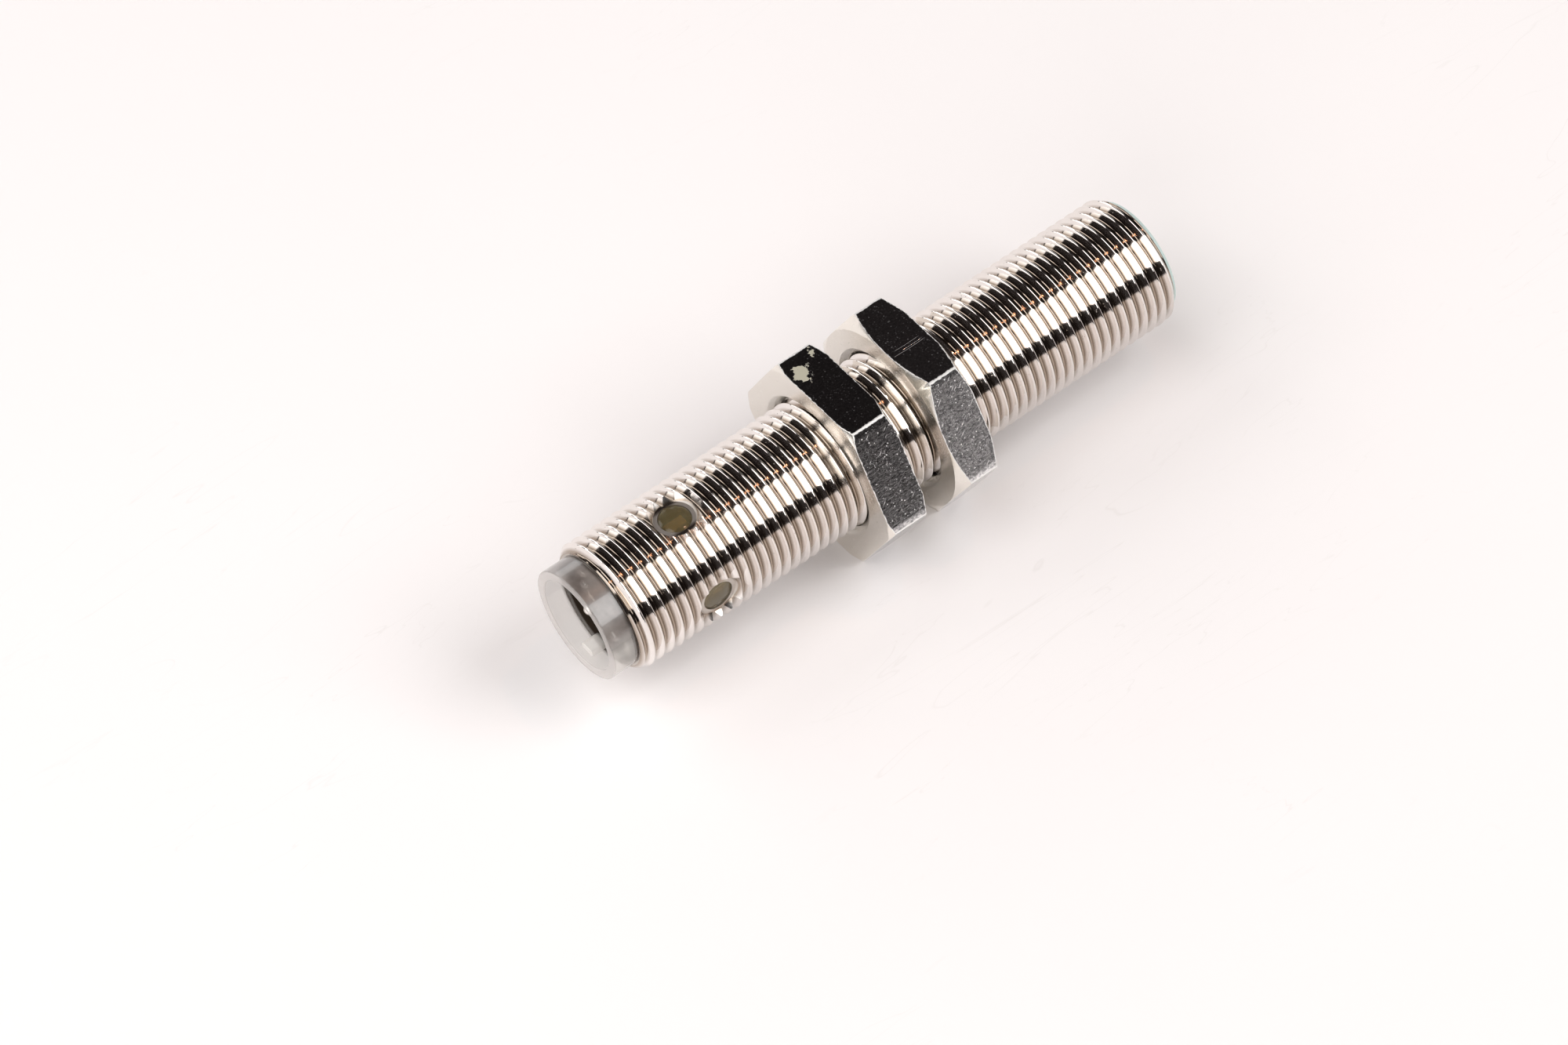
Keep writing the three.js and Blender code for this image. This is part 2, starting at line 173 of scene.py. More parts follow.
def lathe(name, profile, segments):
    """A solid turned about the barrel's axis. Its profile starts and ends on the axis."""
    points, rows = [], []
    for along, radius in profile:
        if radius < 1e-6:
            points.append((along, 0, 0))
            rows.append([len(points) - 1] * segments)
            continue
        row = []
        for segment in range(segments):
            angle = 2 * math.pi * segment / segments
            points.append((along, radius * math.cos(angle), radius * math.sin(angle)))
            row.append(len(points) - 1)
        rows.append(row)
    faces = []
    for low, high in zip(rows, rows[1:]):
        for segment in range(segments):
            after = (segment + 1) % segments
            corners = [low[segment], high[segment], high[after], low[after]]
            face = [c for i, c in enumerate(corners) if c not in corners[:i]]
            if len(face) > 2:
                faces.append(face)
    piece = mesh_object(name, points, faces)
    make_outward(piece)
    return piece


def make_outward(piece):
    """Turns all faces outward where the mesh has come out inside out."""
    mesh = piece.data
    mesh.calc_loop_triangles()
    volume = 0.0
    centre = Vector((0, 0, AXIS_Z))
    for triangle in mesh.loop_triangles:
        a, b, c = (mesh.vertices[i].co - centre for i in triangle.vertices)
        volume += a.dot(b.cross(c))
    if volume < 0:
        mesh.flip_normals()


def boolean(piece, cutter, operation="DIFFERENCE"):
    """Applies a boolean at once and removes the cutter."""
    modifier = piece.modifiers.new("cut", "BOOLEAN")
    modifier.object = cutter
    modifier.operation = operation
    modifier.solver = "MANIFOLD"
    apply_modifiers(piece)
    bpy.data.objects.remove(cutter)


def apply_modifiers(piece):
    """Gives the piece the mesh that its modifiers make, and removes them."""
    depsgraph = bpy.context.evaluated_depsgraph_get()
    mesh = bpy.data.meshes.new_from_object(piece.evaluated_get(depsgraph))
    piece.modifiers.clear()
    old = piece.data
    piece.data = mesh
    bpy.data.meshes.remove(old)
    mesh.name = piece.name


def shade(piece, sharp_degrees):
    """Smooth shading with flat faces kept flat, and sharp edges where faces meet steeply."""
    piece.data.shade_smooth()
    piece.data.set_sharp_from_angle(angle=math.radians(sharp_degrees))
    modifier = piece.modifiers.new("flat faces", "WEIGHTED_NORMAL")
    modifier.mode = "FACE_AREA_WITH_ANGLE"
    modifier.weight = 90
    modifier.keep_sharp = True
    apply_modifiers(piece)


def bevel(piece, width, degrees):
    """Rounds the edges that turn by more than the angle given."""
    modifier = piece.modifiers.new("edges", "BEVEL")
    modifier.width = width * MM
    modifier.segments = 2
    modifier.limit_method = "ANGLE"
    modifier.angle_limit = math.radians(degrees)
    modifier.use_clamp_overlap = True
    apply_modifiers(piece)


def off_axis(angle, radius):
    """Moves a piece modelled on the axis out to its place on a circle about the axis."""
    turn = math.radians(angle)
    return Matrix.Translation((0, radius * MM * math.cos(turn), radius * MM * math.sin(turn)))


def radial(angle, along):
    """Stands a piece modelled along the axis out of the barrel, so that "along" is its radius."""
    place = Matrix.Translation((RIM_X + along * MM, 0, AXIS_Z))
    spin = Matrix.Rotation(math.radians(angle - 90), 4, "X")
    stand = Matrix.Rotation(math.radians(-90), 4, "Y")
    to_origin = Matrix.Translation((-RIM_X, 0, -AXIS_Z))
    return place @ spin @ stand @ to_origin


# Shapes -------------------------------------------------------------------------------------


def thread_profile():
    """One pitch of the thread as (along, radius), from the middle of one root to the next."""
    profile = [(0.0, THREAD_ROOT_RADIUS)]
    for degrees in range(15, THREAD_FLANK_DEGREES + 1, 15):
        turn = math.radians(degrees)
        rise = THREAD_ROOT_FILLET * (1 - math.cos(turn))
        profile.append((THREAD_ROOT_FILLET * math.sin(turn), THREAD_ROOT_RADIUS + rise))
    crest_start = THREAD_PITCH / 2 - THREAD_CREST_FLAT / 2
    slope = (THREAD_RADIUS - profile[-1][1]) / (crest_start - profile[-1][0])
    edge = THREAD_CREST_EDGE
    profile.append((crest_start - edge, THREAD_RADIUS - edge * slope))
    profile.append((crest_start + edge * 2, THREAD_RADIUS))
    mirrored = [(THREAD_PITCH - along, radius) for along, radius in reversed(profile[1:])]
    return profile + mirrored


def threaded_rod(start, end):
    """A solid rod with a right-hand thread that runs on past both ends, closed by two cones."""
    profile = thread_profile()
    count = len(profile)
    turns = math.ceil((end - start) / THREAD_PITCH) + 2 * THREAD_RUN_OUT
    first = start - THREAD_RUN_OUT * THREAD_PITCH
    points, columns = [], []
    for segment in range(THREAD_SEGMENTS):
        share = segment / THREAD_SEGMENTS
        angle = 2 * math.pi * share
        column = []
        for turn in range(turns + (1 if segment == 0 else 0)):
            for offset, radius in profile:
                along = first + turn * THREAD_PITCH + share * THREAD_PITCH + offset
                points.append((along, radius * math.cos(angle), radius * math.sin(angle)))
                column.append(len(points) - 1)
        columns.append(column)
    faces = []
    for segment, left in enumerate(columns):
        right = columns[(segment + 1) % THREAD_SEGMENTS]
        shift = count if segment == THREAD_SEGMENTS - 1 else 0
        for index in range(turns * count - 1):
            if index + 1 + shift < len(right) and index + 1 < len(left):
                faces.append([left[index], right[index + shift],
                              right[index + 1 + shift], left[index + 1]])
    last = turns * count - 1
    low_loop = [column[0] for column in columns] + columns[0][count:0:-1]
    high_loop = [column[last] for column in columns] + columns[0][last + count:last:-1]
    low_tip = first - 2 * THREAD_PITCH
    high_tip = first + (turns + 3) * THREAD_PITCH
    for loop, tip, is_high in ((low_loop, low_tip, False), (high_loop, high_tip, True)):
        points.append((tip, 0, 0))
        centre = len(points) - 1
        for a, b in zip(loop, loop[1:] + loop[:1]):
            faces.append([centre, a, b] if is_high else [centre, b, a])
    rod = mesh_object("threaded_rod", points, faces)
    make_outward(rod)
    return rod


def make_barrel():
    """The threaded tube with its chamfered ends and the four countersunk window holes."""
    barrel = threaded_rod(THREAD_START, THREAD_END)
    past = 0.02
    outline = lathe("outline", [
        (THREAD_START, 0),
        (THREAD_START, THREAD_RADIUS - END_CHAMFER),
        (THREAD_START + END_CHAMFER + past, THREAD_RADIUS + past),
        (THREAD_END - END_CHAMFER - past, THREAD_RADIUS + past),
        (THREAD_END, THREAD_RADIUS - END_CHAMFER),
        (THREAD_END, 0),
    ], segments=192)
    boolean(barrel, outline, "INTERSECT")
    far_end = 70
    bore = lathe("bore", [
        (0, 0), (0, BORE_RADIUS), (far_end, BORE_RADIUS), (far_end, 0),
    ], segments=128)
    boolean(barrel, bore)
    inside, outside = 3.0, 6.15
    for angle in WINDOW_ANGLES:
        cutter = lathe("cutter", [
            (inside, 0),
            (inside, WINDOW_HOLE_RADIUS),
            (WINDOW_SEAT_RADIUS, WINDOW_HOLE_RADIUS),
            (WINDOW_SEAT_RADIUS, WINDOW_HOLE_RADIUS + WINDOW_SEAT_WIDTH),
            (outside, WINDOW_MOUTH_RADIUS),
            (outside, 0),
        ], segments=72)
        cutter.data.transform(radial(angle, WINDOW_ALONG))
        boolean(barrel, cutter)
    barrel.name = "threaded_barrel"
    shade(barrel, sharp_degrees=24)
    return barrel


def make_nut(name, size):
    """A hexagon nut on a polar grid. A 30 degree cone chamfers the corners at both ends."""
    start, end = size["start"], size["start"] + NUT_THICKNESS
    segments = 6 * 32

    def hexagon(angle):
        turn = (angle + math.pi / 6) % (math.pi / 3) - math.pi / 6
        return min(ACROSS_FLATS / 2 / math.cos(turn), NUT_CORNER_RADIUS - NUT_CORNER_CUT)

    def end_rings(setback, face, inward):
        """The ring that bounds the flat end face, and the one where chamfer and flats meet."""
        circle = NUT_CORNER_RADIUS - setback / NUT_CHAMFER_SLOPE
        inner, outer = [], []
        for segment in range(segments):
            radius = hexagon(2 * math.pi * segment / segments - math.pi / 2)
            drop = max(0.0, radius - circle) * NUT_CHAMFER_SLOPE
            inner.append((face, min(radius, circle)))
            outer.append((face + inward * drop, radius))
        return inner, outer

    rear_inner, rear_outer = end_rings(size["rear_setback"], start, 1)
    front_inner, front_outer = end_rings(size["front_setback"], end, -1)
    countersink = (NUT_MOUTH_RADIUS - NUT_BORE_RADIUS) * NUT_MOUTH_SLOPE
    pitch = (NUT_THICKNESS - 2 * countersink) / NUT_GROOVES
    bore = [(end - countersink, NUT_BORE_RADIUS)]
    for groove in range(NUT_GROOVES):
        at = end - countersink - pitch * groove
        bore.append((at - pitch * 0.5, NUT_BORE_RADIUS + NUT_GROOVE_DEPTH))
        bore.append((at - pitch, NUT_BORE_RADIUS))
    rings = [
        [(start, NUT_MOUTH_RADIUS)] * segments,
        rear_inner, rear_outer, front_outer, front_inner,
        [(end, NUT_MOUTH_RADIUS)] * segments,
    ]
    rings += [[place] * segments for place in bore]
    points = []
    for ring in rings:
        for segment, (along, radius) in enumerate(ring):
            angle = 2 * math.pi * segment / segments
            points.append((along, radius * math.cos(angle), radius * math.sin(angle)))
    faces = []
    for row in range(len(rings)):
        low, high = row * segments, ((row + 1) % len(rings)) * segments
        for segment in range(segments):
            after = (segment + 1) % segments
            faces.append([low + segment, high + segment, high + after, low + after])
    nut = mesh_object(f"{name}_body", points, faces)
    weld(nut)
    make_outward(nut)
    bevel(nut, NUT_EDGE, degrees=24)
    shade(nut, sharp_degrees=60)
    return nut


def weld(piece):
    """Merges the points that fall together where a chamfer has no width."""
    modifier = piece.modifiers.new("weld", "WELD")
    modifier.merge_threshold = 0.002 * MM
    apply_modifiers(piece)


def make_insert():
    """The clear moulding: collar, socket with its floor, the key rib and the pin holes."""
    edge, corner = COLLAR_EDGE, SOCKET_CORNER
    back = SOCKET_DEPTH + SOCKET_FLOOR
    profile = [(SOCKET_DEPTH, 0)]
    profile += arc((SOCKET_DEPTH - corner, SOCKET_RADIUS - corner), corner, 0, 90, 4)
    profile += arc((edge, SOCKET_RADIUS + edge), edge, 270, 180, 5)
    profile += arc((edge, COLLAR_RADIUS - edge), edge, 180, 90, 5)
    profile += [
        (THREAD_START - INSERT_GAP, COLLAR_RADIUS),
        (THREAD_START - INSERT_GAP, BORE_RADIUS - INSERT_GAP),
        (back, BORE_RADIUS - INSERT_GAP),
        (back, 0),
    ]
    insert = lathe("clear_socket", profile, segments=128)
    boolean(insert, make_key(), "UNION")
    hole_start, hole_end, hole_radius = SOCKET_DEPTH - 0.4, back + 0.5, PIN_RADIUS + PIN_HOLE_GAP
    for angle in PIN_ANGLES:
        hole = lathe("hole", [
            (hole_start, 0), (hole_start, hole_radius), (hole_end, hole_radius), (hole_end, 0),
        ], segments=32)
        hole.data.transform(off_axis(angle, PIN_CIRCLE))
        boolean(insert, hole)
    shade(insert, sharp_degrees=35)
    return insert


def make_key():
    """The rib along the socket's wall, with its inner corners rounded and its root in the wall."""
    low, root, half = SOCKET_RADIUS - KEY_HEIGHT, SOCKET_RADIUS + 0.3, KEY_WIDTH / 2
    section = [(low + 0.35, -half), (low + 0.1, -half + 0.12), (low, -half + 0.4),
               (low, half - 0.4), (low + 0.1, half - 0.12), (low + 0.35, half),
               (root, half), (root, -half)]
    turn = math.radians(KEY_ANGLE)
    points = []
    for along in (KEY_START, SOCKET_DEPTH + SOCKET_FLOOR / 2):
        for radius, side in section:
            points.append((
                along,
                radius * math.cos(turn) - side * math.sin(turn),
                radius * math.sin(turn) + side * math.cos(turn),
            ))
    count = len(section)
    faces = [list(range(count)), list(range(2 * count - 1, count - 1, -1))]
    faces += [[i, i + count, (i + 1) % count + count, (i + 1) % count] for i in range(count)]
    key = mesh_object("key", points, faces)
    make_outward(key)
    bevel(key, 0.08, degrees=40)
    return key


def make_pin(number, angle):
    """A round contact pin with a domed tip."""
    profile = arc((PIN_TIP + PIN_RADIUS, 0), PIN_RADIUS, 180, 90, 8)
    profile[0] = (PIN_TIP, 0)
    profile += [(PIN_TAIL, PIN_RADIUS), (PIN_TAIL, 0)]
    pin = lathe(f"pin_{number}", profile, segments=40)
    pin.data.transform(off_axis(angle, PIN_CIRCLE))
    shade(pin, sharp_degrees=50)
    return pin


def make_lens(number, angle):
    """A window plug with a low dome. Its "along" is the radius from the barrel's axis."""
    low = BORE_RADIUS - LENS_BELOW_BORE
    dome_foot = WINDOW_SEAT_RADIUS + LENS_ABOVE_SEAT - LENS_DOME - LENS_RIM
    profile = [(low, 0), (low, LENS_RADIUS), (dome_foot, LENS_RADIUS)]
    steps = 8
    for step in range(1, steps + 1):
        share = step / steps
        rise = LENS_DOME * (1 - (1 - share) ** 2) + LENS_RIM * min(1.0, share * 4)
        profile.append((dome_foot + rise, LENS_RADIUS * (1 - share)))
    lens = lathe(f"window_lens_{number}", profile, segments=64)
    lens.data.transform(radial(angle, WINDOW_ALONG))
    shade(lens, sharp_degrees=50)
    return lens


def make_cap():
    """The sensing face's cap: a flange over the barrel's end and a short spigot in its bore."""
    start = TOTAL_LENGTH - CAP_FLANGE - CAP_SPIGOT
    flange = start + CAP_SPIGOT
    spigot = BORE_RADIUS - CAP_SPIGOT_GAP
    profile = [(start, 0), (start, spigot), (flange, spigot), (flange, CAP_RADIUS)]
    profile += arc((TOTAL_LENGTH - CAP_EDGE, CAP_RADIUS - CAP_EDGE), CAP_EDGE, 90, 0, 5)
    profile += [(TOTAL_LENGTH, CAP_RADIUS - CAP_FACE_RING), (TOTAL_LENGTH, 0)]
    cap = lathe("sensing_cap", profile, segments=128)
    shade(cap, sharp_degrees=35)
    return cap


# Materials ----------------------------------------------------------------------------------


class Shader:
    """A procedural material whose nodes read object coordinates in millimetres."""

    def __init__(self, name, **values):
        self.material = bpy.data.materials.new(name)
        self.material.use_nodes = True
        self.tree = self.material.node_tree
        self.surface = self.tree.nodes["Principled BSDF"]
        for socket, value in values.items():
            self.surface.inputs[socket.replace("_", " ")].default_value = value
        coordinates = self.tree.nodes.new("ShaderNodeTexCoord")
        self.position = self.mapped(coordinates.outputs["Object"], Scale=(1 / MM,) * 3)

    def put(self, socket, value):
        """Links the socket to another one, or sets its own value."""
        if isinstance(value, bpy.types.NodeSocket):
            self.tree.links.new(value, socket)
        else:
            socket.default_value = value

    def node(self, kind, inputs, output=0, **settings):
        """A new node with its inputs and settings. Gives one of its outputs."""
        made = self.tree.nodes.new(kind)
        for key, value in settings.items():
            setattr(made, key, value)
        for key, value in inputs.items():
            self.put(made.inputs[key], value)
        return made.outputs[output]

    def link(self, socket, value):
        """Puts a value into one of the surface shader's own sockets."""
        self.put(self.surface.inputs[socket], value)

    def mapped(self, vector, **settings):
        return self.node("ShaderNodeMapping", {"Vector": vector, **settings})

    def scaled(self, x, y, z):
        return self.mapped(self.position, Scale=(x, y, z))

    def noise(self, vector, scale=1.0, detail=2.0, roughness=0.5, distortion=0.0):
        return self.node("ShaderNodeTexNoise", {
            "Vector": vector, "Scale": scale, "Detail": detail,
            "Roughness": roughness, "Distortion": distortion})

    def cells(self, vector, scale):
        """Distance to the nearest of points strewn at random."""
        return self.node("ShaderNodeTexVoronoi", {"Vector": vector, "Scale": scale})

    def math(self, operation, a, b=0.0, clamp=False):
        return self.node("ShaderNodeMath", {0: a, 1: b}, operation=operation, use_clamp=clamp)

    def add(self, a, b):
        return self.math("ADD", a, b)

    def less(self, a, b):
        return self.math("SUBTRACT", a, b)

    def times(self, a, b):
        return self.math("MULTIPLY", a, b)

    def absolute(self, value):
        return self.math("ABSOLUTE", value)

    def most(self, first, *others):
        """The largest of the values."""
        for other in others:
            first = self.math("MAXIMUM", first, other)
        return first

    def length(self, a, b):
        """The length of the flat vector (a, b)."""
        return self.math("SQRT", self.add(self.times(a, a), self.times(b, b)))

    def span(self, value, low, high, out_low=0.0, out_high=1.0):
        """Takes low..high to out_low..out_high, and stays there beyond both ends."""
        return self.node("ShaderNodeMapRange", {
            "Value": value, "From Min": low, "From Max": high,
            "To Min": out_low, "To Max": out_high})

    def mix(self, factor, a, b):
        """The colour a where factor is 0 and b where it is 1."""
        made = self.tree.nodes.new("ShaderNodeMix")
        made.data_type = "RGBA"
        factor_input, a_input, b_input, colour_output = 0, 6, 7, 2
        self.put(made.inputs[factor_input], factor)
        self.put(made.inputs[a_input], a)
        self.put(made.inputs[b_input], b)
        return made.outputs[colour_output]

    def bump(self, height, strength, distance, normal=None):
        inputs = {"Height": height, "Strength": strength, "Distance": distance * MM}
        if normal is not None:
            inputs["Normal"] = normal
        return self.node("ShaderNodeBump", inputs)

    def split(self, vector):
        made = self.tree.nodes.new("ShaderNodeSeparateXYZ")
        self.put(made.inputs[0], vector)
        return made.outputs

    def axes(self):
        """x, y and z, in millimetres."""
        return self.split(self.position)

    def facing(self):
        """The x, y and z of the face's own direction."""
        geometry = self.tree.nodes.new("ShaderNodeNewGeometry")
        return self.split(geometry.outputs["True Normal"])

    def radius(self):
        """Distance from the barrel's axis, in millimetres."""
        _, y, z = self.axes()
        return self.length(y, self.less(z, AXIS_Z_MM))


def rgb(red, green, blue):
    return (red, green, blue, 1.0)


def nickel_thread():
    """Nickel over a cut thread: lines round the barrel, painted shade in the roots, rougher and
    greyer window seats, pits.
    """
    s = Shader("nickel_thread", Metallic=1.0)
    lines = s.noise(s.scaled(16, 0.35, 0.35), detail=3.0, roughness=0.6)
    broad = s.noise(s.scaled(1.1, 0.35, 0.35))
    cloud = s.noise(s.position, 0.9, detail=4.0, roughness=0.6)
    grain = s.noise(s.position, 22.0)
    pitted = s.span(s.noise(s.position, 0.8), 0.56, 0.66)
    pits = s.times(s.span(s.cells(s.position, 3.2), 0.16, 0.06), pitted)
    root = s.span(s.radius(), *ROOT_SHADE_RADII)
    below_thread = s.span(s.radius(), *BELOW_THREAD_RADII)

    clean = s.mix(cloud, rgb(0.78, 0.735, 0.70), rgb(0.88, 0.84, 0.81))
    # Painted shade: the thread's roots are drawn dark brown.
    colour = s.mix(s.times(root, 0.85), clean, rgb(0.29, 0.22, 0.16))
    colour = s.mix(s.times(below_thread, 0.8), colour, rgb(0.62, 0.58, 0.54))
    s.link("Base Color", s.mix(pits, colour, rgb(0.20, 0.15, 0.11)))

    rough = s.span(grain, 0.3, 0.7, 0.05, 0.11)
    rough = s.add(rough, s.times(below_thread, 0.22))
    rough = s.add(rough, s.times(countersinks(s), 0.16))
    s.link("Roughness", s.add(rough, s.times(pits, 0.4)))

    ripple = s.bump(broad, 0.05, 0.05)
    turned = s.bump(lines, 0.16, 0.005, ripple)
    s.link("Normal", s.bump(pits, 0.6, -0.02, turned))
    return s.material


def countersinks(s):
    """1 inside the mouths of the four window holes, which open along y and along z."""
    x, y, z = s.axes()
    x = s.less(x, RIM_X_MM + WINDOW_ALONG)
    z = s.less(z, AXIS_Z_MM)
    side = s.math("MINIMUM", s.absolute(y), s.absolute(z))
    return s.span(s.length(x, side), WINDOW_MOUTH_RADIUS - 0.15, WINDOW_MOUTH_RADIUS - 0.35)


def nickel_nut(name, size, tone, side_roughness):
    """Nickel-plated hexagon bar: drawn flats, turned end faces, specks, nicks, rubbed edges
    painted pale as highlights.

    tone scales the flats' colour, and the two nuts' different tones paint their different light:
    the rear nut's darker flats are painted shade. side_roughness is added on every flat but the
    top one.
    """
    s = Shader(name)
    x, y, _ = s.axes()
    facing_x, _, facing_z = s.facing()
    end_face = s.span(s.absolute(facing_x), 0.3, 0.4)
    top = s.span(facing_z, 0.9, 0.95)
    sides = s.less(1.0, s.most(top, end_face))

    drawn = s.noise(s.scaled(1.2, 5, 5), detail=5.0, roughness=0.75)
    fine = s.noise(s.scaled(4, 5, 5), roughness=0.9)
    cloud = s.noise(s.position, 0.7, detail=4.0, roughness=0.6)
    turned = s.node("ShaderNodeCombineXYZ", {0: s.times(s.radius(), 9.0), 1: s.times(x, 0.4)})
    rings = s.noise(turned, detail=3.0, roughness=0.6)
    marks = s.times(nut_marks(s, cloud), s.span(s.most(top, end_face), 0, 1, 1.0, 0.25))
    edges = s.times(nut_edge_highlights(s, size, x), s.less(1.0, end_face))
    scratches = s.times(long_scratches(s, x, y), top)
    film = s.times(dull_film(s, x, y), top)

    darker = s.mix(cloud, rgb(*[0.50 * tone] * 3), rgb(*[0.72 * tone] * 3))
    lighter = rgb(1.8 * tone, 1.76 * tone, 1.76 * tone)
    speckle = s.times(s.span(fine, 0.40, 0.64), s.span(top, 0, 1, 1.0, 0.35))
    flats = s.mix(speckle, darker, lighter)
    champagne = s.mix(cloud, rgb(0.84, 0.80, 0.735), rgb(0.90, 0.865, 0.81))
    colour = s.mix(end_face, flats, champagne)
    colour = s.mix(s.times(marks, 0.8), colour, rgb(0.90, 0.87, 0.84))
    colour = s.mix(s.times(scratches, 0.6), colour, rgb(0.75, 0.72, 0.69))
    # Painted highlight: the rubbed edges are drawn pale, and below they are made less metallic.
    colour = s.mix(edges, colour, rgb(0.92, 0.90, 0.88))
    s.link("Base Color", s.mix(film, colour, rgb(0.50, 0.47, 0.37)))

    dull = s.most(s.times(marks, 0.5), s.times(edges, 0.6), s.times(scratches, 0.35),
                  s.times(film, 0.85))
    s.link("Metallic", s.less(1.0, dull))

    rough = s.span(drawn, 0.3, 0.7, 0.08, 0.13)
    rough = s.add(rough, s.times(sides, side_roughness))
    rough = s.add(rough, s.times(end_face, 0.14))
    s.link("Roughness", s.math("ADD", rough, s.times(dull, 0.4), clamp=True))

    along = s.add(s.times(drawn, 0.7), s.times(fine, 0.5))
    along = s.times(along, s.add(s.times(sides, 0.85), 0.15))
    around = s.times(rings, end_face)
    relief = s.bump(s.add(along, s.times(around, 0.5)), 0.5, 0.012)
    s.link("Normal", s.bump(s.most(marks, scratches), 0.4, -0.01, relief))
    return s.material


def nut_marks(s, cloud):
    """Bright specks, dust in some places only, and short slanting nicks."""
    specks = s.span(s.cells(s.position, 2.1), 0.15, 0.09)
    dust = s.span(s.cells(s.scaled(4.5, 6, 6), 1.0), 0.2, 0.1)
    dust = s.times(dust, s.span(cloud, 0.42, 0.58))
    slanting = s.mapped(s.position, Rotation=(0.52, 0.70, 0.0))
    slanting = s.mapped(slanting, Scale=(0.45, 4.0, 4.0))
    nicks = s.span(s.cells(slanting, 1.0), 0.14, 0.06)
    return s.most(specks, dust, s.times(nicks, 0.8))


def nut_edge_highlights(s, size, x):
    """Rubbed edges painted pale as highlights: the ridges between the flats, and where the
    chamfers meet the flats.
    """
    radius = s.radius()
    start = RIM_X_MM + size["start"]
    ends = ((size["rear_setback"], start, 1.0),
            (size["front_setback"], start + NUT_THICKNESS, -1.0))
    gaps = []
    for setback, face, inward in ends:
        circle = NUT_CORNER_RADIUS - setback / NUT_CHAMFER_SLOPE
        drop = s.times(s.less(radius, circle), NUT_CHAMFER_SLOPE)
        depth = s.times(s.less(x, face), inward)
        gaps.append(s.less(depth, s.most(drop, 0.0)))
    ragged = s.noise(s.position, 2.5, detail=4.0, roughness=0.8)
    ragged = s.span(ragged, 0.35, 0.65, -0.07, 0.05)
    chamfer = s.span(s.less(s.math("MINIMUM", *gaps), ragged), 0.10, 0.05)
    ridge = s.span(s.less(radius, s.times(ragged, 0.3)), *NUT_RIDGE_RADII)
    return s.most(chamfer, ridge)


# On the rear nut's top flat: where along, y, and radius.
DULL_FILM = ((26.2, 2.75, 0.85), (28.2, 4.1, 0.2))
# On the front nut's top flat: y, where along it starts and ends, and half its width.
LONG_SCRATCHES = (
    (-0.35, 33.3, 35.9, 0.022),
    (-0.84, 32.9, 36.2, 0.026),
    (-0.66, 33.9, 36.1, 0.014),
)


def dull_film(s, x, y):
    """Two ragged patches of dull film."""
    ragged = s.span(s.noise(s.position, 1.6, detail=4.0, roughness=0.6), 0.3, 0.7, -0.5, 0.5)
    patches = []
    for along, side, size in DULL_FILM:
        far = s.length(s.less(x, RIM_X_MM + along), s.less(y, side))
        patches.append(s.span(s.add(far, ragged), size + 0.04, size - 0.04))
    return s.most(*patches)


def long_scratches(s, x, y):
    """Long fine scratches that run along the barrel, slightly waved."""
    wave = s.span(s.noise(s.scaled(0.3, 0, 0), detail=1.0), 0.3, 0.7, -0.06, 0.06)
    waved = s.add(y, wave)
    lines = []
    for side, first, last, width in LONG_SCRATCHES:
        line = s.span(s.absolute(s.less(waved, side)), width, width * 0.3)
        started = s.span(x, RIM_X_MM + first, RIM_X_MM + first + 0.2)
        ended = s.span(x, RIM_X_MM + last, RIM_X_MM + last - 0.3)
        lines.append(s.times(line, s.times(started, ended)))
    return s.most(*lines)


